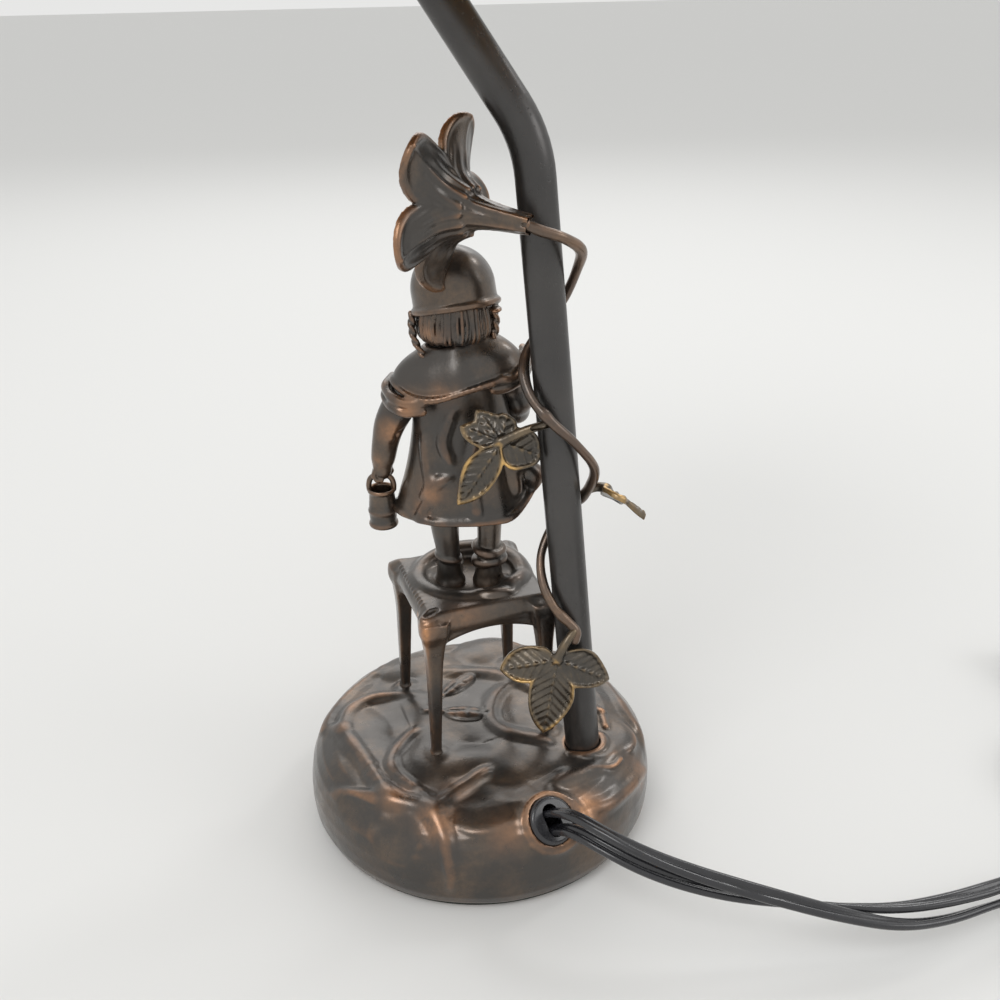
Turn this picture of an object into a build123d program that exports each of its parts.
from build123d import *

import os
from math import cos, pi, radians, sin, tan

# Figural table lamp: a child on a stool, back turned, beside a bent stem wound with a flowering vine.
# Millimetres, +Z up. The origin is the centre of the felt pad's underside; the figure faces -Y.

os.makedirs("parts", exist_ok=True)

# ---------------------------------------------------------------- driving dimensions
felt_thick = 0.8
felt_radius = 62.5
foot_radius = 63.4  # underside of the casting
bulge_radius = 66.2  # widest place, about 11 mm up
ground = 33.3  # top of the casting
pad_level = 32.0  # spot-faced seats for the stool's feet
wall = 3.4
plate_thick = 2.0
plate_radius = 60.9

stem_radius = 6.35
stem_bore = 5.05
stem_foot = Vector(-32.0, 27.3, 33.3)
stem_azimuth = -43.0  # the vertical plane that holds the whole bent stem
stem_lean = 0.092  # sideways travel per millimetre of height
bend_radii = [40.0, 30.0]
first_bend = (19.9, 250.0)  # travel along the azimuth, height
second_bend = (58.7, 302.0)
stem_top = 322.0
socket_depth = 8.0  # how far the stem sits in the casting
boss_length = 14.0

nipple_radius = 5.0  # M10 lamp thread
nipple_bore = 4.0

stool_x, stool_y = -0.6, -7.8
leg_half_x, leg_half_y = 22.2, 22.8
seat_top = 92.0
seat_slab = 6.5
apron_foot = 79.0

figure_x, figure_y = 0.8, -6.3
figure_turn = -18.66  # degrees about Z
hem_level = 122.5
neck_level = 181.0
cap_level = 194.0
stand_level = 90.0  # the dished seat under the shoes

cord_width = 5.4  # flat twin cord, across both cores
layer_gap = 0.5

saddle_level = 328.0
harp_top = 444.0
shade_rim = 331.0
shade_eaves = 351.0
shade_crown = 446.0
eaves_reach = 98.0  # centre to the middle of a side
crown_reach = 28.0
shade_wall = 2.0
pane_thick = 2.6
side_count = 8


def save(made, name):
    """Label a finished piece and write it as its own file."""
    made.label = name
    export_step(made, f"parts/{name}.step")


# ---------------------------------------------------------------- places worked out from the dimensions
def eased_radii(points, share=0.45):
    """One radius for each corner, as large as its two runs allow."""
    radii = []
    for before, corner, after in zip(points, points[1:], points[2:]):
        shorter = min((corner - before).length, (after - corner).length)
        half_turn = radians((corner - before).get_angle(after - corner)) / 2
        radii.append(share * shorter / tan(half_turn))
    return radii


def on_stem_plane(travel, height):
    """A point of the stem's upright plane, by its travel from the foot and its height."""
    return Vector(
        stem_foot.X + travel * cos(radians(stem_azimuth)),
        stem_foot.Y + travel * sin(radians(stem_azimuth)),
        height,
    )


lean_dir = (on_stem_plane(stem_lean, stem_foot.Z + 1) - stem_foot).normalized()
stem_plane = Plane(origin=stem_foot, z_dir=lean_dir)
lamp_axis = on_stem_plane(second_bend[0], 0)
figure_plane = Plane(
    origin=(figure_x, figure_y, 0),
    x_dir=(cos(radians(figure_turn)), sin(radians(figure_turn)), 0),
    z_dir=(0, 0, 1),
)


def figure_point(side, back, height):
    """Lamp coordinates of a place on the figure: to its left, to its back, up."""
    return figure_plane.from_local_coords(Vector(side, back, height))


bushing_place = Vector(-7.4, 59.1, 29.8)
bushing_azimuth, bushing_rise = 104.0, 43.0
bushing_seat = -1.6  # the seat is cut this far into the shoulder
bushing_dir = Vector(
    cos(radians(bushing_rise)) * cos(radians(bushing_azimuth)),
    cos(radians(bushing_rise)) * sin(radians(bushing_azimuth)),
    sin(radians(bushing_rise)),
)
bushing_plane = Plane(origin=bushing_place, x_dir=(cos(radians(14)), sin(radians(14)), 0), z_dir=bushing_dir)

# ---------------------------------------------------------------- base
boss_spots = [(44.0, radians(a)) for a in (15, 200, 275)]
screw_spots = [(r * cos(a), r * sin(a)) for r, a in boss_spots]
leg_spots = [(stool_x + i * leg_half_x, stool_y + j * leg_half_y) for i in (-1, 1) for j in (-1, 1)]

root_sink = 0.9  # each root's centre line lies this far under the surface it crests
roots = [  # radius, then places on the surface it follows
    (2.5, (30.8, 44.9, 32.0), (30.6, 52.0, 29.2), (29.5, 56.8, 24.0), (29.2, 58.4, 17.0)),
    (2.3, (30.5, 44.2, 32.2), (39.4, 32.6, 32.9), (51.2, 25.4, 30.9), (61.0, 14.5, 25.2)),
    (2.1, (39.4, 32.6, 32.9), (44.0, 21.7, 33.2), (46.8, 8.1, 33.2), (49.0, -9.0, 33.0), (43.3, -21.6, 33.1),
     (35.7, -26.6, 33.2), (25.0, -25.0, 33.3)),
    (1.6, (42.2, 25.1, 33.2), (36.9, 15.5, 33.2), (30.8, 6.7, 33.2), (25.5, 2.0, 33.3)),
    (2.2, (30.5, 44.4, 32.2), (22.7, 39.7, 33.2), (11.6, 35.3, 33.2), (2.6, 28.0, 33.2)),
    (1.8, (-52.7, 7.6, 32.2), (-51.9, 17.2, 32.0), (-52.1, 30.4, 29.1), (-48.6, 39.6, 26.6), (-40.6, 47.2, 27.0),
     (-30.5, 52.6, 28.8)),
]

with BuildPart() as base_casting:
    with BuildSketch(Plane.XZ):
        with BuildLine():
            Line((0, felt_thick), (foot_radius, felt_thick))
            ThreePointArc((foot_radius, felt_thick), (bulge_radius, 12), (65.0, 21.5))
            ThreePointArc((65.0, 21.5), (61.2, 28.6), (50.0, ground))
            Polyline((50.0, ground), (0, ground), (0, felt_thick))
        make_face()
    revolve(axis=Axis.Z)
    with BuildSketch(Plane.XZ) as hollow_profile:
        with BuildLine():
            Polyline(
                (0, felt_thick),
                (plate_radius + 0.2, felt_thick),
                (plate_radius + 0.2, felt_thick + plate_thick),
                (57.5, felt_thick + plate_thick),
                (61.0, 9.0),
                (61.0, 19.0),
                (57.4, 25.5),
                (48.5, 29.4),
                (0, ground - wall - 0.4),
                close=True,
            )
        make_face()
    revolve(axis=Axis.Z, mode=Mode.SUBTRACT)
    # raised roots crossing the top and running down the shoulder
    for root_radius, *crest in roots:
        root_points = [Vector(*place) - Vector(0, 0, root_sink) for place in crest]
        with BuildLine(mode=Mode.PRIVATE):
            root_line = FilletPolyline(*root_points, radius=eased_radii(root_points))
        with BuildSketch(Plane(origin=root_line @ 0, z_dir=root_line % 0)):
            Circle(root_radius)
        sweep(path=root_line)
        with Locations(root_line @ 0, root_line @ 1):
            Sphere(root_radius)
    # boss that takes the stem, along the stem's own lean
    with BuildSketch(stem_plane.offset(-boss_length)):
        Circle(11)
    extrude(amount=boss_length - 2.5)
    # three bosses for the bottom plate's screws
    with BuildSketch(Plane.XY.offset(felt_thick + plate_thick)):
        with Locations(*screw_spots):
            Circle(4.5)
    extrude(amount=28)
    # thickened, spot-faced seat for the cord bushing
    with BuildSketch(bushing_plane.offset(bushing_seat - 6.5)):
        Circle(9.4)
    extrude(amount=6.5)
    with BuildSketch(bushing_plane.offset(bushing_seat)):
        Circle(8.8)
    extrude(amount=12, mode=Mode.SUBTRACT)
    # bores: stem socket, nipple, plate screws, stool screws, bushing
    with BuildSketch(stem_plane.offset(-socket_depth - 0.03)):
        Circle(stem_radius + 0.06)
    extrude(amount=20, mode=Mode.SUBTRACT)
    with BuildSketch(stem_plane.offset(-boss_length - 1)):
        Circle(nipple_radius + 0.1)
    extrude(amount=12, mode=Mode.SUBTRACT)
    with BuildSketch(Plane.XY.offset(felt_thick + plate_thick)):
        with Locations(*screw_spots):
            Circle(1.75)
    extrude(amount=9, mode=Mode.SUBTRACT)
    with BuildSketch(Plane.XY.offset(pad_level)):
        with Locations(*leg_spots):
            Circle(3.2)
    extrude(amount=4, mode=Mode.SUBTRACT)
    with BuildSketch(Plane.XY.offset(20)):
        with Locations(*leg_spots):
            Circle(1.6)
    extrude(amount=14, mode=Mode.SUBTRACT)
    with BuildSketch(bushing_plane.offset(bushing_seat - 8)):
        Circle(7.0)
    extrude(amount=12, mode=Mode.SUBTRACT)
    with BuildSketch(bushing_plane.offset(bushing_seat - 12)):
        Circle(8.2)
    extrude(amount=5.5, mode=Mode.SUBTRACT)
save(base_casting.part, "base_casting")

with BuildPart() as bottom_plate:
    with BuildSketch(Plane.XY.offset(felt_thick)):
        Circle(plate_radius)
    extrude(amount=plate_thick)
    with Locations(*[Location((x, y, felt_thick), (180, 0, 0)) for x, y in screw_spots]):
        CounterSinkHole(radius=2.0, counter_sink_radius=3.6, depth=plate_thick)
save(bottom_plate.part, "bottom_plate")

with BuildPart() as felt_pad:
    with BuildSketch():
        Circle(felt_radius)
    extrude(amount=felt_thick)
save(felt_pad.part, "felt_pad")

with BuildPart() as plate_screws:
    for x, y in screw_spots:
        with BuildSketch(Plane((x, y, felt_thick), x_dir=(1, 0, 0), z_dir=(0, -1, 0))):
            with BuildLine():
                Polyline((0, 0.1), (3.3, 0.1), (1.7, 1.7), (1.7, 9.5), (0, 9.5), close=True)
            make_face()
        revolve(axis=Axis((x, y, 0), (0, 0, 1)))
save(plate_screws.part, "plate_screws")

with BuildPart() as cord_bushing:
    with BuildSketch(bushing_plane.offset(bushing_seat)):
        Circle(8.35)
    extrude(amount=2.2)
    outer_face = cord_bushing.faces().sort_by(Axis(bushing_place, bushing_dir))[-1]
    fillet(outer_face.edges(), 1.4)
    with BuildSketch(bushing_plane.offset(bushing_seat - 9)):
        Circle(6.9)
    extrude(amount=9)
    with BuildSketch(bushing_plane.offset(bushing_seat - 8.6)):
        Circle(7.7)
    extrude(amount=2.0)
    with BuildSketch(bushing_plane.offset(bushing_seat - 10)):
        SlotOverall(11.6, 6.0, rotation=90)
    extrude(amount=15, mode=Mode.SUBTRACT)
save(cord_bushing.part, "cord_bushing")

# ---------------------------------------------------------------- stem and its fixings
stem_end = stem_foot - lean_dir * socket_depth
stem_corners = [on_stem_plane(*first_bend), on_stem_plane(*second_bend)]

with BuildPart() as stem_tube:
    with BuildLine():
        stem_path = FilletPolyline(stem_end, *stem_corners, on_stem_plane(second_bend[0], stem_top), radius=bend_radii)
    with BuildSketch(Plane(origin=stem_path @ 0, z_dir=stem_path % 0)):
        Circle(stem_radius)
        Circle(stem_bore, mode=Mode.SUBTRACT)
    sweep(path=stem_path)
save(stem_tube.part, "stem_tube")

with BuildPart() as foot_nipple:
    with BuildSketch(stem_plane.offset(-boss_length - 6.6)):
        Circle(nipple_radius)
        Circle(nipple_bore, mode=Mode.SUBTRACT)
    extrude(amount=24)
save(foot_nipple.part, "foot_nipple")

with BuildPart() as foot_washer:
    with BuildSketch(stem_plane.offset(-boss_length - 1.2)):
        Circle(9.5)
        Circle(nipple_radius + 0.1, mode=Mode.SUBTRACT)
    extrude(amount=1.2)
save(foot_washer.part, "foot_washer")

with BuildPart() as foot_nut:
    with BuildSketch(stem_plane.offset(-boss_length - 5.2)):
        RegularPolygon(8.0, 6)
        Circle(nipple_radius + 0.1, mode=Mode.SUBTRACT)
    extrude(amount=4.0)
save(foot_nut.part, "foot_nut")


# ---------------------------------------------------------------- vine
side_dir = figure_plane.x_dir
back_dir = figure_plane.y_dir
cap_dir = side_dir * 0.14 - back_dir * 0.20 + Vector(0, 0, 1)
cap_plane = Plane(origin=figure_point(1.2, -3.6, cap_level + 0.5), z_dir=cap_dir)
cap_radius, cap_straight = 14.1, 6.5  # the cap's dome, and how far up it begins


def stem_centre(height):
    """Where the straight part of the stem's axis stands at this height."""
    return on_stem_plane(stem_lean * (height - stem_foot.Z), height)


def beside_stem(height, turn, reach):
    """A place round the stem: turn 0 is the figure's left, 90 its back."""
    return stem_centre(height) + side_dir * (reach * cos(radians(turn))) + back_dir * (reach * sin(radians(turn)))


vine_radius = 1.5
vine_places = [  # height, turn round the stem, reach from its axis
    (88.0, 92, 9.0),
    (95.0, 52, 9.2),
    (102.0, 15, 9.4),
    (110.0, -20, 9.6),
    (117.5, -60, 9.4),
    (125.0, -105, 9.6),
    (134.0, -150, 10.4),
    (145.0, -188, 11.6),
    (156.5, -236, 10.2),
    (164.5, -278, 9.8),
    (171.0, -318, 9.4),
    (177.5, -358, 9.0),
    (184.0, -402, 9.2),
    (191.5, -448, 9.4),
    (201.0, -492, 9.8),
    (211.0, -529, 11.0),
    (218.0, -560, 12.6),
    (223.0, -598, 12.6),
    (225.5, -628, 12.8),
    (228.0, -652, 14.2),
]
vine_points = [beside_stem(*place) for place in vine_places]

with BuildPart() as vine_main:
    with BuildLine():
        vine_path = FilletPolyline(*vine_points, radius=eased_radii(vine_points))
    with BuildSketch(Plane(origin=vine_path @ 0, z_dir=vine_path % 0)):
        Circle(vine_radius)
    sweep(path=vine_path)
save(vine_main.part, "vine_main")


def lobed_shell(plane, lobes, cup, thick):
    """A cupped leaf: lobes of (direction, length, width), 90 degrees hanging, cut from a ball of radius cup."""
    ball = plane.location * Pos(0, 0, -cup) * (Sphere(cup) - Sphere(cup - thick))
    with BuildPart() as leaf:
        with BuildSketch(plane):
            for direction, length, width in lobes:
                along = Vector(cos(radians(direction)), sin(radians(direction)))
                across = Vector(-along.Y, along.X) * (width / 2)
                middle = along * (length * 0.45)
                with BuildLine():
                    ThreePointArc((0, 0), middle + across, along * length)
                    ThreePointArc(along * length, middle - across, (0, 0))
                make_face()
            Circle(2.2)
        extrude(amount=7, both=True)
        add(ball, mode=Mode.INTERSECT)
    return leaf.part


def leaf_piece(name, place, facing, x_dir, lobes, cup, stalk_from):
    """A leaf with its stalk, cut clear of the vine that carries it."""
    shell = lobed_shell(Plane(origin=place, x_dir=x_dir, z_dir=facing), lobes, cup, 1.5)
    reach = place - stalk_from
    with BuildPart() as leaf:
        add(shell)
        with BuildSketch(Plane(origin=stalk_from, z_dir=reach)):
            Circle(1.2)
        extrude(amount=reach.length - 0.2)
        add(vine_main.part, mode=Mode.SUBTRACT)
        add(stem_tube.part, mode=Mode.SUBTRACT)
    made = leaf.part.solids().sort_by(SortBy.VOLUME)[-1]
    save(made, name)
    return made


facing_back = Vector(0.32, 0.86, 0.40)
vine_leaf_lower = leaf_piece(
    "vine_leaf_lower",
    beside_stem(76.0, 80, 14.5),
    facing_back,
    side_dir,
    [(12, 21, 12.5), (156, 20, 13), (80, 29, 15)],
    46,
    vine_points[0] + back_dir * 0.8,
)
vine_leaf_middle = leaf_piece(
    "vine_leaf_middle",
    stem_centre(155.0) + side_dir * 17.5 + back_dir * 9.0,
    Vector(0.20, 0.90, 0.30),
    side_dir,
    [(-22, 13.5, 8), (-55, 12, 8), (-105, 9, 7.5), (58, 26, 10.5), (158, 14.5, 13.5)],
    34,
    vine_points[9],
)
vine_leaf_rear = leaf_piece(
    "vine_leaf_rear",
    stem_centre(135.0) - side_dir * 15.5 - back_dir * 4.0,
    Vector(-0.45, -0.25, 0.86),
    side_dir,
    [(176, 16, 9), (128, 11, 8), (232, 12, 8)],
    30,
    vine_points[6],
)

# flower: a flared trumpet cut into five round petals
flower_root = vine_points[-1]
flower_dir = (side_dir * 0.875 - back_dir * 0.467 + Vector(0, 0, 0.124)).normalized()
flower_plane = Plane(origin=flower_root, x_dir=Vector(0, 0, 1) - flower_dir * flower_dir.Z, z_dir=flower_dir)
petal_count = 5
petal_turn = 28.0  # the first petal's turn from straight up
petal_middle, petal_half_length, petal_half_width = 15.0, 13.4, 9.6
cap_room = Location(cap_plane.offset(cap_straight).origin) * Sphere(cap_radius + 0.3)

with BuildPart() as vine_flower:
    with BuildSketch(Plane(origin=flower_root, x_dir=flower_plane.x_dir, z_dir=flower_plane.y_dir)):
        with BuildLine():
            outer = Spline((2.6, -2.5), (3.4, -9.0), (7.6, -18.5), (17.0, -25.5), (27.0, -27.5))
            Line(outer @ 1, (27.0, -28.9))
            inner = Spline((27.0, -28.9), (16.4, -26.9), (6.4, -19.6), (2.0, -9.6), (1.3, -3.0))
            Line(inner @ 1, outer @ 0)
        make_face()
    revolve(axis=Axis(flower_root, flower_dir))
    with BuildSketch(flower_plane):
        with PolarLocations(petal_middle, petal_count, start_angle=petal_turn):
            Ellipse(petal_half_length, petal_half_width)
        Circle(7.5)
    extrude(amount=40, mode=Mode.INTERSECT)
    with BuildSketch(flower_plane.offset(0.4)):
        Circle(2.2)
    with BuildSketch(flower_plane.offset(4.0)):
        Circle(3.1)
    loft()
    add(vine_main.part, mode=Mode.SUBTRACT)
    add(stem_tube.part, mode=Mode.SUBTRACT)
    # the lowest petal rests over the cap, scooped to clear it
    add(cap_room, mode=Mode.SUBTRACT)
save(vine_flower.part, "vine_flower")

# ---------------------------------------------------------------- stool
leg_plan = (leg_half_x * 2, leg_half_y * 2)
dimple_place = Pos(stool_x + 19.6, stool_y + 18.8, seat_top + 0.2) * Rot(0, 0, figure_turn)
dimple = dimple_place * scale(Sphere(1), by=(3.6, 1.7, 1.1))

dish_half_width, dish_half_depth = 16.6, 13.6
cushion_width, cushion_rise = 3.0, 1.1  # the rolled rim that stands round the dish

with BuildPart() as stool:
    with BuildSketch(Plane.XY.offset(seat_top - seat_slab)):
        with Locations((stool_x, stool_y)):
            RectangleRounded(leg_plan[0] + 4.4, leg_plan[1] + 2.4, 3.8)
    extrude(amount=seat_slab)
    fillet(stool.faces().sort_by(Axis.Z)[-1].edges(), 2.6)
    # apron under the slab, arched between the legs
    with BuildSketch(Plane.XY.offset(apron_foot)):
        with Locations((stool_x, stool_y)):
            Rectangle(leg_plan[0] + 4.0, leg_plan[1] + 2.4)
            Rectangle(leg_plan[0] - 5.0, leg_plan[1] - 6.0, mode=Mode.SUBTRACT)
    extrude(amount=seat_top - seat_slab - apron_foot)
    arch_drop = 31.0
    with BuildSketch(Plane(origin=(stool_x, stool_y, apron_foot - arch_drop + 5.4), z_dir=(0, 1, 0))):
        Circle(arch_drop)
    extrude(amount=60, both=True, mode=Mode.SUBTRACT)
    with BuildSketch(Plane(origin=(stool_x, stool_y, apron_foot - arch_drop + 5.4), z_dir=(1, 0, 0))):
        Circle(arch_drop)
    extrude(amount=60, both=True, mode=Mode.SUBTRACT)
    # tapered legs on small ball feet
    for x, y in leg_spots:
        with BuildSketch(Plane.XY.offset(35.5)):
            with Locations((x, y)):
                RectangleRounded(4.0, 4.0, 0.9)
        with BuildSketch(Plane.XY.offset(seat_top - seat_slab)):
            with Locations((x + (-1.3 if x > stool_x else 1.3), y + (-1.3 if y > stool_y else 1.3))):
                RectangleRounded(6.6, 6.6, 1.2)
        loft()
    with Locations(*[(x, y, 34.6) for x, y in leg_spots]):
        Sphere(2.7)
    with BuildSketch(Plane.XY.offset(pad_level - 5)):
        with Locations(*leg_spots):
            Circle(4)
    extrude(amount=5, mode=Mode.SUBTRACT)
    # the cushion's rolled rim, its dished top, and the oval dimple on the near corner
    with BuildSketch(Plane.XY.offset(seat_top - 1)):
        with Locations(figure_point(-0.5, -3.5, 0)):
            Ellipse(dish_half_width + cushion_width, dish_half_depth + cushion_width, rotation=figure_turn)
    extrude(amount=1 + cushion_rise)
    fillet(stool.faces().sort_by(Axis.Z)[-1].edges(), 1.0)
    with BuildSketch(Plane.XY.offset(stand_level)):
        with Locations(figure_point(-0.5, -3.5, 0)):
            Ellipse(dish_half_width - 1.4, dish_half_depth - 1.4, rotation=figure_turn)
    extrude(amount=4, taper=-40, mode=Mode.SUBTRACT)
    add(dimple, mode=Mode.SUBTRACT)
    # pilot holes up the legs and the stud's hole through the seat
    with BuildSketch(Plane.XY.offset(pad_level - 1)):
        with Locations(*leg_spots):
            Circle(1.0)
    extrude(amount=9, mode=Mode.SUBTRACT)
    with BuildSketch(Plane.XY.offset(seat_top - seat_slab - 1)):
        with Locations(figure_point(8.0, -2.0, 0), figure_point(-8.2, -2.0, 0)):
            Circle(1.6)
    extrude(amount=12, mode=Mode.SUBTRACT)
save(stool.part, "stool")

# the heads bear on the ceiling of the casting
with BuildPart() as stool_screws:
    for x, y in leg_spots:
        with BuildSketch(Plane((x, y, 0), x_dir=(1, 0, 0), z_dir=(0, -1, 0))):
            with BuildLine():
                Polyline((0, 26.9), (2.6, 26.9), (2.6, 29.3), (0.95, 29.3), (0.95, 39.5), (0, 39.5), close=True)
            make_face()
        revolve(axis=Axis((x, y, 0), (0, 0, 1)))
save(stool_screws.part, "stool_screws")

# ---------------------------------------------------------------- figure
body_sections = [  # height, side, back, half width, half depth
    (hem_level, 0.0, -1.0, 24.6, 17.0),
    (128.0, 0.0, -1.0, 23.0, 16.2),
    (138.0, 0.0, -1.5, 20.4, 14.6),
    (150.0, 0.3, -2.0, 18.0, 12.8),
    (162.0, 0.8, -2.6, 16.2, 11.6),
    (171.0, 1.2, -3.0, 15.0, 10.8),
]
cape_sections = [  # height, side, back, half width, half depth, tilt down towards the left in degrees
    (168.4, 1.0, -2.6, 22.6, 15.6, 13.0),
    (171.4, 1.2, -2.8, 21.0, 14.6, 12.0),
    (176.0, 1.7, -3.4, 14.6, 11.6, 6.0),
    (neck_level, 1.8, -3.8, 8.6, 8.2, 0.0),
]
lip_reach, lip_half, lip_round = 0.6, 1.2, 1.1  # the cape's rolled edge
shoulder_ruffles = [  # side, back, height, then half sizes
    (20.6, -2.0, 166.8, 4.8, 6.6, 3.4),
    (-18.4, -3.0, 174.6, 4.6, 6.6, 4.2),
]


def figure_section(height, side, back):
    """A level plane on the figure, with x to its left and y to its back."""
    return Plane(origin=figure_point(side, back, height), x_dir=side_dir, z_dir=(0, 0, 1))


def cape_plane(height, side, back, tilt):
    """A section of the cape, tipped down towards the figure's left."""
    down = side_dir * cos(radians(tilt)) - Vector(0, 0, sin(radians(tilt)))
    return Plane(origin=figure_point(side, back, height), x_dir=down, z_dir=down.cross(back_dir))


rim_height, rim_side, rim_back, rim_width, rim_depth, rim_tilt = cape_sections[0]

with BuildPart() as cape_lip:
    with BuildSketch(cape_plane(rim_height, rim_side, rim_back, rim_tilt).offset(-lip_half)):
        Ellipse(rim_width + lip_reach, rim_depth + lip_reach)
    extrude(amount=2 * lip_half)
    fillet(cape_lip.edges(), lip_round)

ruffles = [
    figure_section(height, side, back).location * scale(Sphere(1), by=tuple(half_sizes))
    for side, back, height, *half_sizes in shoulder_ruffles
]

with BuildPart() as figure_body:
    for height, side, back, half_width, half_depth in body_sections:
        with BuildSketch(figure_section(height, side, back)):
            Ellipse(half_width, half_depth)
    loft()
    for height, side, back, half_width, half_depth, tilt in cape_sections:
        with BuildSketch(cape_plane(height, side, back, tilt)):
            Ellipse(half_width, half_depth)
    loft()
    # the cape's rolled edge and the gathered ruffles on the shoulders
    add(cape_lip.part)
    add(ruffles[0])
    add(ruffles[1])
    # hollow under the skirt, down to the casting's inner ceiling
    with BuildSketch(figure_section(hem_level, 0, -1)):
        Ellipse(22.4, 14.8)
    with BuildSketch(figure_section(130.0, 0, -1)):
        Ellipse(19.0, 12.4)
    loft(mode=Mode.SUBTRACT)
    # blind holes for the studs that hold the legs
    with BuildSketch(figure_section(129.5, 0, 0)):
        with Locations((8.0, -2.0), (-8.2, -2.0)):
            Circle(1.6)
    extrude(amount=8.5, mode=Mode.SUBTRACT)
save(figure_body.part, "figure_body")

head_sections = [
    (neck_level, 1.8, -4.0, 7.2, 6.8),
    (184.0, 1.8, -4.6, 10.4, 10.8),
    (188.0, 1.9, -4.9, 13.0, 13.4),
    (192.0, 1.9, -4.7, 13.8, 13.9),
    (199.0, 1.9, -4.5, 13.6, 13.6),
]

with BuildPart() as figure_head:
    for height, side, back, half_width, half_depth in head_sections:
        with BuildSketch(figure_section(height, side, back)):
            Ellipse(half_width, half_depth)
    loft()
    split(bisect_by=cap_plane, keep=Keep.BOTTOM)
save(figure_head.part, "figure_head")

cap_axis = Axis(cap_plane.origin, cap_plane.z_dir)

with BuildPart() as figure_cap:
    with BuildSketch(Plane(origin=cap_plane.origin, x_dir=cap_plane.x_dir, z_dir=cap_plane.y_dir * -1)):
        with BuildLine():
            Line((0, 0), (15.0, 0))
            ThreePointArc((15.0, 0), (15.8, 0.8), (15.0, 1.6))
            Polyline((15.0, 1.6), (cap_radius, 1.6), (cap_radius, cap_straight))
            CenterArc((0, cap_straight), cap_radius, 0, 90)
            Line((0, cap_straight + cap_radius), (0, 0))
        make_face()
    revolve(axis=cap_axis)
save(figure_cap.part, "figure_cap")

leg_sections = {
    8.0: [(90.0, 6.6, -4.6, 4.9, 7.4), (95.0, 6.8, -3.4, 4.6, 5.8), (101.0, 7.2, -2.4, 4.2, 4.3),
          (112.0, 8.0, -2.0, 4.9, 4.8), (130.0, 8.4, -2.0, 5.6, 5.4)],
    -8.2: [(90.0, -7.6, -4.8, 6.0, 7.8), (95.5, -7.7, -3.4, 5.6, 6.0), (101.0, -7.9, -2.4, 4.4, 4.4),
           (112.0, -8.2, -2.0, 4.3, 4.3), (130.0, -8.6, -2.0, 5.0, 5.0)],
}

with BuildPart() as figure_legs:
    for side, sections in leg_sections.items():
        for height, across, back, half_width, half_depth in sections:
            with BuildSketch(figure_section(height, across, back)):
                Ellipse(half_width, half_depth)
        loft()
    # the rolled sock on the right leg
    with Locations(Plane(figure_point(-7.9, -2.4, 100.8)), Plane(figure_point(-7.9, -2.4, 104.0))):
        Torus(4.9, 1.4)
    with BuildSketch(Plane.XY.offset(stand_level)):
        with Locations(figure_point(8.0, -2.0, 0), figure_point(-8.2, -2.0, 0)):
            Circle(1.55)
    extrude(amount=41, mode=Mode.SUBTRACT)
save(figure_legs.part, "figure_legs")

with BuildPart() as figure_studs:
    for side in (8.0, -8.2):
        with BuildSketch(Plane(figure_point(side, -2.0, 0), x_dir=(1, 0, 0), z_dir=(0, -1, 0))):
            with BuildLine():
                Polyline((0, 82.9), (2.6, 82.9), (2.6, 85.5), (1.5, 85.5), (1.5, 136.5), (0, 136.5), close=True)
            make_face()
        revolve(axis=Axis(figure_point(side, -2.0, 0), (0, 0, 1)))
save(figure_studs.part, "figure_studs")

pail_foot, pail_lip = 115.5, 130.4
pail_place = figure_point(29.8, -0.4, 0)

with BuildPart() as pail:
    with BuildSketch(Plane(pail_place, x_dir=side_dir, z_dir=-back_dir)):
        with BuildLine():
            Polyline((0, pail_foot), (4.7, pail_foot), (5.3, pail_foot + 1.0), (4.8, pail_foot + 2.4))
            ThreePointArc((4.8, pail_foot + 2.4), (4.9, 122.0), (4.3, pail_lip - 1.6))
            Polyline((4.3, pail_lip - 1.6), (5.0, pail_lip - 0.6), (4.6, pail_lip), (3.8, pail_lip))
            Polyline((3.8, pail_lip), (3.5, pail_lip - 2.6), (0, pail_lip - 2.6), (0, pail_foot))
        make_face()
    revolve(axis=Axis(pail_place, (0, 0, 1)))
save(pail.part, "pail")

bail_reach = 4.2
with BuildPart() as pail_bail:
    with BuildLine(Plane(pail_place + Vector(0, 0, pail_lip), x_dir=side_dir, z_dir=-back_dir)):
        bail_path = ThreePointArc((-bail_reach, 0), (-1.0, 6.0), (bail_reach, 0))
    with BuildSketch(Plane(origin=bail_path @ 0, z_dir=bail_path % 0)):
        Circle(0.6)
    sweep(path=bail_path)
    add(pail.part, mode=Mode.SUBTRACT)
save(pail_bail.part, "pail_bail")

left_arm_sections = [
    (171.0, 18.4, -2.0, 4.4),
    (166.0, 20.6, -2.0, 5.2),
    (158.0, 24.0, -1.6, 4.5),
    (150.0, 26.6, -1.0, 4.0),
    (143.0, 28.0, -0.6, 3.9),
    (139.5, 28.6, -0.6, 4.3),
    (137.5, 28.8, -0.6, 3.2),
]
hand_place = figure_point(28.8, -0.6, 136.6)

with BuildPart() as figure_left_arm:
    for height, side, back, half_width in left_arm_sections:
        with BuildSketch(figure_section(height, side, back)):
            Circle(half_width)
    loft()
    with Locations(hand_place):
        Sphere(3.1)
    add(figure_body.part, mode=Mode.SUBTRACT)
    add(pail_bail.part, mode=Mode.SUBTRACT)
save(figure_left_arm.part.solids().sort_by(SortBy.VOLUME)[-1], "figure_left_arm")

right_arm_points = [
    figure_point(-15.0, -4.0, 169.0),
    figure_point(-17.6, -9.5, 155.0),
    figure_point(-7.0, -19.0, 152.0),
]

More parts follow.
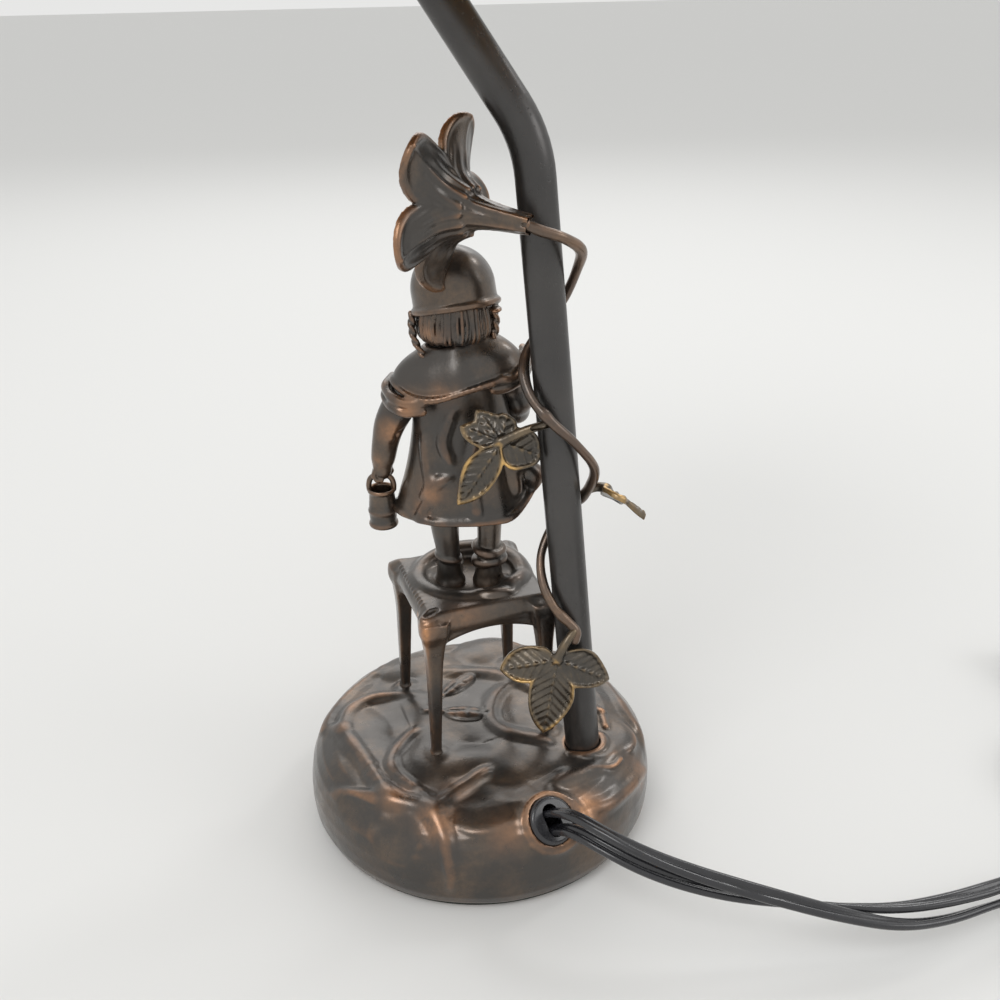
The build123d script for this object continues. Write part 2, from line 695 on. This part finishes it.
with BuildPart() as figure_right_arm:
    with BuildLine():
        arm_path = FilletPolyline(*right_arm_points, radius=6)
    with BuildSketch(Plane(origin=arm_path @ 0, z_dir=arm_path % 0)):
        Circle(4.3)
    sweep(path=arm_path)
    with Locations(right_arm_points[-1]):
        Sphere(3.8)
    add(figure_body.part, mode=Mode.SUBTRACT)
save(figure_right_arm.part.solids().sort_by(SortBy.VOLUME)[-1], "figure_right_arm")

# ---------------------------------------------------------------- lampholder and bulb
lamp_x, lamp_y = lamp_axis.X, lamp_axis.Y


def turned(name, *rings):
    """Pieces turned about the lamp's upright axis, each from its (radius, height) outline."""
    with BuildPart() as made:
        with BuildSketch(Plane((lamp_x, lamp_y, 0), x_dir=(1, 0, 0), z_dir=(0, -1, 0))):
            for ring in rings:
                with BuildLine():
                    Polyline(*ring, close=True)
                make_face()
        revolve(axis=Axis((lamp_x, lamp_y, 0), (0, 0, 1)))
    save(made.part, name)
    return made.part


turned("top_nipple", [(nipple_bore, 312.5), (nipple_radius, 312.5), (nipple_radius, 336), (nipple_bore, 336)])
turned(
    "vase_cap",
    [(5.1, 322), (8.0, 322), (8.6, 323.4), (13.5, 325.6), (14.0, 327.0), (13.5, saddle_level), (5.1, saddle_level)],
)
turned(
    "socket_cap",
    [(5.1, 330), (12.0, 330), (16.4, 337), (17.0, 346), (16.2, 346), (15.6, 338), (11.4, 332), (5.1, 332)],
)
turned("socket_locknut", [(5.1, 332.2), (8.2, 332.2), (8.2, 335.4), (5.1, 335.4)])
turned(
    "socket_shell",
    [(17.5, 344), (18.3, 344), (18.3, 347), (17.9, 348), (17.9, 378), (18.6, 380), (18.6, 381.5), (17.8, 381.5),
     (17.1, 378), (17.1, 348)],
)
turned("socket_liner", [(16.2, 348.2), (16.9, 348.2), (16.9, 376), (16.2, 376)])
turned(
    "socket_body",
    [(2.6, 341), (13.6, 341), (15.8, 348.5), (15.8, 360), (14.9, 360), (14.9, 357), (0, 357), (0, 351), (2.6, 351)],
)
turned("socket_screw_shell", [(13.9, 357.2), (14.7, 357.2), (14.7, 377), (13.9, 377)])
turned("centre_contact", [(0, 357.2), (5.0, 357.2), (5.0, 357.7), (2.0, 359.6), (0, 359.6)])

bulb_seat = 360.0
turned(
    "bulb_cap",
    [(0, bulb_seat), (4.6, bulb_seat), (5.4, bulb_seat + 1.6), (12.6, bulb_seat + 4.2), (13.2, bulb_seat + 6),
     (13.2, bulb_seat + 24), (12.4, bulb_seat + 24), (12.4, bulb_seat + 5.4), (5.0, bulb_seat + 3.0),
     (0, bulb_seat + 3.0)],
)
with BuildPart() as bulb_glass:
    with BuildSketch(Plane((lamp_x, lamp_y, 0), x_dir=(1, 0, 0), z_dir=(0, -1, 0))):
        with BuildLine():
            bulb_side = Spline((12.0, 385.0), (18.2, 397.0), (22.5, 410.0), tangents=[(0, 1), (0, 1)])
            bulb_crown = RadiusArc((22.5, 410.0), (0, 432.5), -22.5)
            Polyline((0, 432.5), (0, 366.0), (12.0, 366.0), (12.0, 385.0))
        make_face()
    revolve(axis=Axis((lamp_x, lamp_y, 0), (0, 0, 1)))
save(bulb_glass.part, "bulb_glass")

# ---------------------------------------------------------------- harp and its saddle
harp_reach = 31.0
harp_wire = 1.6
harp_foot = 334.0

with BuildPart() as harp_saddle:
    with BuildSketch(Plane.XY.offset(saddle_level)):
        with Locations((lamp_x, lamp_y)):
            SlotOverall(46, 13)
            Circle(5.1, mode=Mode.SUBTRACT)
    extrude(amount=2.0)
    with BuildSketch(Plane.XY.offset(saddle_level + 2)):
        with Locations((lamp_x - 20.5, lamp_y), (lamp_x + 20.5, lamp_y)):
            Circle(2.6)
    extrude(amount=harp_foot - saddle_level - 2)
save(harp_saddle.part, "harp_saddle")

with BuildPart() as harp:
    with BuildLine(Plane((lamp_x, lamp_y, 0), x_dir=(1, 0, 0), z_dir=(0, -1, 0))):
        harp_path = FilletPolyline(
            (-20.5, harp_foot),
            (-20.5, 345),
            (-harp_reach, 362),
            (-harp_reach, 420),
            (-9.0, harp_top - 3.6),
            (9.0, harp_top - 3.6),
            (harp_reach, 420),
            (harp_reach, 362),
            (20.5, 345),
            (20.5, harp_foot),
            radius=[8, 12, 16, 12, 12, 16, 12, 8],
        )
    with BuildSketch(Plane(origin=harp_path @ 0, z_dir=harp_path % 0)):
        Circle(harp_wire)
    sweep(path=harp_path)
    with BuildSketch(Plane.XY.offset(harp_top - 6.4)):
        with Locations((lamp_x, lamp_y)):
            Circle(5.2)
    extrude(amount=6.4)
    with BuildSketch(Plane.XY.offset(harp_top)):
        with Locations((lamp_x, lamp_y)):
            Circle(3.1)
    extrude(amount=16)
save(harp.part, "harp")

# ---------------------------------------------------------------- shade
corner_scale = 1 / cos(pi / side_count)


def octagon_solid(levels):
    """An eight-sided frustum through (height, centre-to-side reach) levels, sides facing the axes."""
    with BuildPart() as block:
        for low, high in zip(levels, levels[1:]):
            for height, reach in (low, high):
                with BuildSketch(Plane.XY.offset(height)):
                    with Locations((lamp_x, lamp_y)):
                        RegularPolygon(reach * corner_scale, side_count, rotation=180 / side_count)
            loft(ruled=True)
    return block.part


def radial_slabs(width, length, low, high):
    """Upright slabs through the shade's eight corners."""
    with BuildPart() as slabs:
        with BuildSketch(Plane.XY.offset(low)):
            with Locations((lamp_x, lamp_y)):
                for k in range(side_count):
                    with Locations(Rot(0, 0, 360 / side_count * (k + 0.5)) * Pos(length / 2, 0, 0)):
                        Rectangle(length, width)
        extrude(amount=high - low)
    return slabs.part


outer_levels = [(shade_rim, eaves_reach + 1.5), (shade_eaves, eaves_reach), (shade_crown, crown_reach)]
glass_levels = [(z, r - shade_wall) for z, r in outer_levels]
inner_levels = [(z, r - shade_wall - pane_thick) for z, r in outer_levels]
outer_block = octagon_solid(outer_levels)
glass_block = octagon_solid(glass_levels)
inner_block = octagon_solid(inner_levels)
wide_ribs = radial_slabs(6.0, 130, shade_rim, shade_crown)
narrow_gaps = radial_slabs(3.0, 130, shade_rim, shade_crown)


def band(low, high):
    """A level slice as wide as the whole shade."""
    return Pos(lamp_x, lamp_y, (low + high) / 2) * Box(260, 260, high - low)


frame_keep = wide_ribs + band(shade_rim, shade_rim + 4) + band(shade_eaves - 2, shade_eaves + 3)
frame_keep = frame_keep + band(shade_crown - 5, shade_crown)
spider = Pos(lamp_x, lamp_y, shade_crown - 1) * (
    Cylinder(8, 2) + Box(crown_reach * 2, 6, 2) + Box(6, crown_reach * 2, 2)
)
stud_hole = Pos(lamp_x, lamp_y, shade_crown) * Cylinder(3.3, 20)
shade_frame = ((outer_block - glass_block) & frame_keep) + (spider & outer_block) - stud_hole
save(shade_frame, "shade_frame")

pane_low = Pos(lamp_x, lamp_y, (shade_rim + shade_crown) / 2) * Box(
    260, 260, shade_crown - shade_rim - 6
)
shade_panes = (glass_block - inner_block - narrow_gaps - band(shade_eaves - 0.4, shade_eaves + 0.4)) & pane_low
save(shade_panes, "shade_panes")

turned(
    "shade_cap",
    [(3.3, shade_crown), (8.0, shade_crown), (8.0, shade_crown + 2.0), (27.0, shade_crown + 0.6),
     (28.5, shade_crown + 1.6), (28.5, shade_crown + 2.6), (19.0, shade_crown + 7.0), (9.0, shade_crown + 9.4),
     (3.3, shade_crown + 9.4)],
)
turned(
    "finial",
    [(0, shade_crown + 16.2), (3.15, shade_crown + 16.2), (3.15, shade_crown + 9.6), (7.0, shade_crown + 9.6),
     (7.6, shade_crown + 11.4), (4.4, shade_crown + 14.0), (4.0, shade_crown + 16.6), (6.6, shade_crown + 20.0),
     (7.0, shade_crown + 23.6), (5.4, shade_crown + 27.4), (2.6, shade_crown + 31.2), (0, shade_crown + 33.0)],
)

# ---------------------------------------------------------------- wiring inside the base and the stem
block_front = -13.0  # along the bushing's axis
block_length = 14.0
block_back = bushing_plane.from_local_coords(Vector(0, 0, block_front - block_length))
wire_radius = 1.7
under_nipple = stem_foot - lean_dir * 28.0

with BuildPart() as terminal_block:
    with BuildSketch(bushing_plane.offset(block_front - block_length)):
        RectangleRounded(20, 12, 1.5)
    extrude(amount=block_length)
save(terminal_block.part, "terminal_block")

with BuildPart() as stem_wire:
    with BuildLine():
        wire_path = FilletPolyline(
            block_back,
            block_back - bushing_dir * 4.6,
            (-9.0, 32.0, 5.8),
            (-21.5, 30.4, 5.4),
            under_nipple,
            *stem_corners,
            on_stem_plane(second_bend[0], 351.0),
            radius=[4.5, 10.0, 24.0, 9.0, *bend_radii],
        )
    with BuildSketch(Plane(origin=wire_path @ 0, z_dir=wire_path % 0)):
        Circle(wire_radius)
    sweep(path=wire_path)
save(stem_wire.part, "stem_wire")

# ---------------------------------------------------------------- the two leads, laid out on the floor
cord_radius = cord_width / 2
cord_offset = 2.95  # each lead's centre from the bushing's axis, along the slot
coil_step = (cord_width + layer_gap) / 2  # each half turn is this much tighter than the last
coil_rise = cord_width + layer_gap


def in_bushing(side, depth):
    """A place on a lead where the bushing's slot holds it."""
    return bushing_plane.from_local_coords(Vector(0, side * cord_offset, depth))


def report_tube(name, tube, path, radii):
    """Print what shows that a swept tube came out whole."""
    expected = pi * cord_radius**2 * path.length
    print(f"{name}: {path.length:.0f} mm, volume {tube.volume:.0f} of {expected:.0f},",
          f"radii {[round(r, 1) for r in radii]}")


def lead(name, points):
    """A free stretch of cord: straight runs joined by arcs as large as the runs allow."""
    radii = eased_radii(points)
    with BuildPart() as tube:
        with BuildLine():
            path = FilletPolyline(*points, radius=radii)
        with BuildSketch(Plane(origin=path @ 0, z_dir=path % 0)):
            Circle(cord_radius)
        sweep(path=path)
    report_tube(name, tube.part, path, radii)
    save(tube.part, name)


def half_turns(start, heading, inward, radii, climbing):
    """Half circles, each begun where the last one ends; one of them climbs to the upper layer."""
    turns = []
    for number, radius in enumerate(radii):
        across = inward * radius
        if number == climbing:
            across = across + Vector(0, 0, coil_rise / 2)
        turns.append((start, start + across + heading * across.length, start + across * 2))
        start = start + across * 2
        heading = heading * -1
        inward = inward * -1
    return turns


def least_gap(path, spacing=1.5):
    """Clear distance between a coil's neighbouring turns, measured on points along it."""
    count = int(path.length / spacing)
    points = [path @ (k / count) for k in range(count + 1)]
    skipped = int(4 * cord_width / spacing)
    nearest = min(
        (points[k] - other).length for k in range(count) for other in points[k + skipped:]
    )
    return nearest - cord_width


def coil(name, start, inward, outer_radius, halves_in, halves_out, ending):
    """A lead wound inward on the floor and out again on top, with its last points given."""
    inner_radius = outer_radius - halves_in * coil_step
    radii_in = [outer_radius - k * coil_step for k in range(halves_in)]
    radii_out = [inner_radius + (k + 1) * coil_step for k in range(halves_out)]
    radii = [*radii_in, inner_radius, *radii_out]
    with BuildPart() as tube:
        with BuildLine() as path:
            for turn in half_turns(start, Vector(-1, 0, 0), inward, radii, halves_in):
                ThreePointArc(*turn)
            if len(ending) > 2:
                ThreePointArc(*ending[:3])
            Line(*ending[-2:])
        with BuildSketch(Plane(start, z_dir=(-1, 0, 0))):
            Circle(cord_radius)
        sweep(path=path.wires()[0])
    report_tube(name, tube.part, path.wires()[0], radii)
    print(f"{name}: least gap {least_gap(path.wires()[0]):.2f} mm")
    save(tube.part, name)


upper_layer = cord_radius + coil_rise
mains_start = Vector(-213.5, 137.0, cord_radius)
mains_outer = 41.0
plug_face = -247.5

lead("mains_lead", [
    in_bushing(-1, block_front),
    in_bushing(-1, 5.6),
    Vector(-12.4, 70.9, 39.4),
    Vector(-18.5, 80.2, 38.5),
    Vector(-27.5, 89.4, 35.5),
    Vector(-39.9, 98.1, 31.5),
    Vector(-54.1, 106.1, 27.4),
    Vector(-69.6, 114.1, 23.1),
    Vector(-85.6, 121.5, 18.5),
    Vector(-102.1, 127.2, 14.1),
    Vector(-120.7, 127.9, 10.5),
    Vector(-140.8, 126.0, 8.3),
    Vector(-160.5, 125.2, 6.0),
    Vector(-179.0, 129.8, 3.8),
    Vector(-196.5, 137.0, cord_radius),
    mains_start,
])
mains_end = Vector(mains_start.X, mains_start.Y, upper_layer)
coil(
    "mains_coil",
    mains_start,
    Vector(0, 1, 0),
    mains_outer,
    8,
    7,
    [mains_end, Vector(plug_face, mains_start.Y, upper_layer)],
)

switch_start = Vector(-232.5, 119.0, cord_radius)
switch_outer = 33.0
switch_face = 57.0

lead("switch_lead", [
    in_bushing(1, block_front),
    in_bushing(1, 4.4),
    Vector(-12.2, 71.9, 33.4),
    Vector(-17.5, 79.9, 32.7),
    Vector(-26.2, 88.7, 29.7),
    Vector(-38.8, 97.2, 25.7),
    Vector(-53.6, 104.2, 21.8),
    Vector(-70.3, 110.2, 18.7),
    Vector(-87.2, 116.1, 16.7),
    Vector(-103.5, 121.5, 15.5),
    Vector(-121.2, 123.7, 14.7),
    Vector(-141.0, 123.9, 13.7),
    Vector(-161.5, 121.9, 12.2),
    Vector(-181.0, 119.8, 9.6),
    Vector(-199.5, 118.6, 5.8),
    Vector(-216.0, 119.0, cord_radius),
    switch_start,
])
switch_turn = Vector(switch_start.X, switch_start.Y, upper_layer)
switch_centre = switch_turn - Vector(0, switch_outer, 0)
switch_end = switch_centre - Vector(switch_outer, 0, 0)
quarter_middle = switch_centre + Vector(-1, 1, 0).normalized() * switch_outer
coil(
    "switch_coil",
    switch_start,
    Vector(0, -1, 0),
    switch_outer,
    4,
    3,
    [switch_turn, quarter_middle, switch_end, Vector(switch_end.X, switch_face, upper_layer)],
)

# ---------------------------------------------------------------- plug
plug_length, plug_width, plug_height = 30.0, 22.0, 2 * upper_layer
blade_spacing, blade_width, blade_thick, blade_length = 12.7, 6.3, 1.5, 17.0
blade_root = 7.0  # how far each blade is set in the body
plug_front = plug_face - plug_length
plug_entry = Plane((plug_face, mains_start.Y, upper_layer), x_dir=(0, 1, 0), z_dir=(-1, 0, 0))

with BuildPart() as plug_blades:
    with BuildSketch(plug_entry.offset(plug_length - blade_root)):
        with Locations((blade_spacing / 2, 0), (-blade_spacing / 2, 0)):
            Rectangle(blade_thick, blade_width)
    extrude(amount=blade_root + blade_length)
    tips = plug_blades.edges().filter_by(Axis.Y).group_by(Axis.X)[0]
    chamfer(tips, 1.8)
    with BuildSketch(Plane((plug_front - blade_length + 3.6, mains_start.Y, upper_layer), z_dir=(0, 1, 0))):
        Circle(1.6)
    extrude(amount=12, both=True, mode=Mode.SUBTRACT)
save(plug_blades.part, "plug_blades")

with BuildPart() as plug_body:
    for depth, width, height, corner in [
        (0, 11.0, 9.6, 3.6),
        (10.0, 15.0, 12.6, 3.6),
        (plug_length - 7.0, plug_width, plug_height, 4.2),
    ]:
        with BuildSketch(plug_entry.offset(depth)):
            RectangleRounded(width, height, corner)
    loft()
    with BuildSketch(plug_entry.offset(plug_length - 7.0)):
        RectangleRounded(plug_width, plug_height, 4.2)
    extrude(amount=7.0)
    fillet(plug_body.faces().sort_by(Axis.X)[0].edges(), 1.2)
    # finger grooves across the top and the underside
    for depth in (12.0, 15.5, 19.0):
        with BuildSketch(Plane((plug_face - depth, mains_start.Y, upper_layer), z_dir=(0, 1, 0))):
            with Locations((0, 9.4), (0, -9.4)):
                Circle(1.5)
        extrude(amount=20, both=True, mode=Mode.SUBTRACT)
    add(plug_blades.part, mode=Mode.SUBTRACT)
save(plug_body.part, "plug_body")

# ---------------------------------------------------------------- hand switch
switch_length, switch_width, switch_height = 52.0, 20.0, 2 * upper_layer
parting = upper_layer
wheel_radius, wheel_thick, wheel_show = 8.0, 3.0, 2.5
axle_radius, axle_length = 1.2, 9.0
wheel_place = Vector(switch_end.X, switch_face - 34.0, switch_height + wheel_show - wheel_radius)
screw_place = Vector(switch_end.X, switch_face - 15.0, 0)
switch_middle = Vector(switch_end.X, switch_face - switch_length / 2, 0)
wheel_plane = Plane(wheel_place, x_dir=(0, 1, 0), z_dir=(1, 0, 0))
wheel_clear = 0.4
axle_clear = 0.05

with BuildPart() as switch_case:
    with BuildSketch(Plane(switch_middle)):
        RectangleRounded(switch_width, switch_length, 7.5)
    extrude(amount=switch_height)
    fillet(switch_case.faces().sort_by(Axis.Z)[-1].edges(), 3.4)
    fillet(switch_case.faces().sort_by(Axis.Z)[0].edges(), 2.0)
    # room for the thumbwheel and its axle, which drops in from the parting face
    with BuildSketch(wheel_plane):
        Circle(wheel_radius + wheel_clear)
    extrude(amount=wheel_thick / 2 + wheel_clear, both=True, mode=Mode.SUBTRACT)
    with BuildSketch(Plane((wheel_place.X, wheel_place.Y, parting))):
        Rectangle(axle_length + 0.6, 2 * (axle_radius + axle_clear))
    extrude(amount=wheel_place.Z - parting, mode=Mode.SUBTRACT)
    with BuildSketch(wheel_plane):
        Circle(axle_radius + axle_clear)
    extrude(amount=axle_length / 2 + 0.3, both=True, mode=Mode.SUBTRACT)
    # screw hole, countersunk underneath
    with BuildSketch(Plane(screw_place)):
        Circle(1.25)
    extrude(amount=13.0, mode=Mode.SUBTRACT)
    with BuildSketch(Plane(screw_place)):
        Circle(2.7)
    extrude(amount=2.4, mode=Mode.SUBTRACT)

with BuildPart() as switch_base:
    add(switch_case.part)
    split(bisect_by=Plane.XY.offset(parting), keep=Keep.BOTTOM)
save(switch_base.part, "switch_base")

with BuildPart() as switch_cover:
    add(switch_case.part)
    split(bisect_by=Plane.XY.offset(parting), keep=Keep.TOP)
save(switch_cover.part, "switch_cover")

with BuildPart() as switch_wheel:
    with BuildSketch(wheel_plane):
        Circle(wheel_radius)
        with PolarLocations(wheel_radius + 0.35, 24):
            Circle(0.6, mode=Mode.SUBTRACT)
    extrude(amount=wheel_thick / 2, both=True)
    with BuildSketch(wheel_plane):
        Circle(axle_radius)
    extrude(amount=axle_length / 2, both=True)
save(switch_wheel.part, "switch_wheel")

with BuildPart() as switch_screw:
    with BuildSketch(Plane(screw_place, x_dir=(1, 0, 0), z_dir=(0, -1, 0))):
        with BuildLine():
            Polyline((0, 0.5), (2.4, 0.5), (2.4, 2.4), (1.2, 2.4), (1.2, 12.4), (0, 12.4), close=True)
        make_face()
    revolve(axis=Axis(screw_place, (0, 0, 1)))
save(switch_screw.part, "switch_screw")
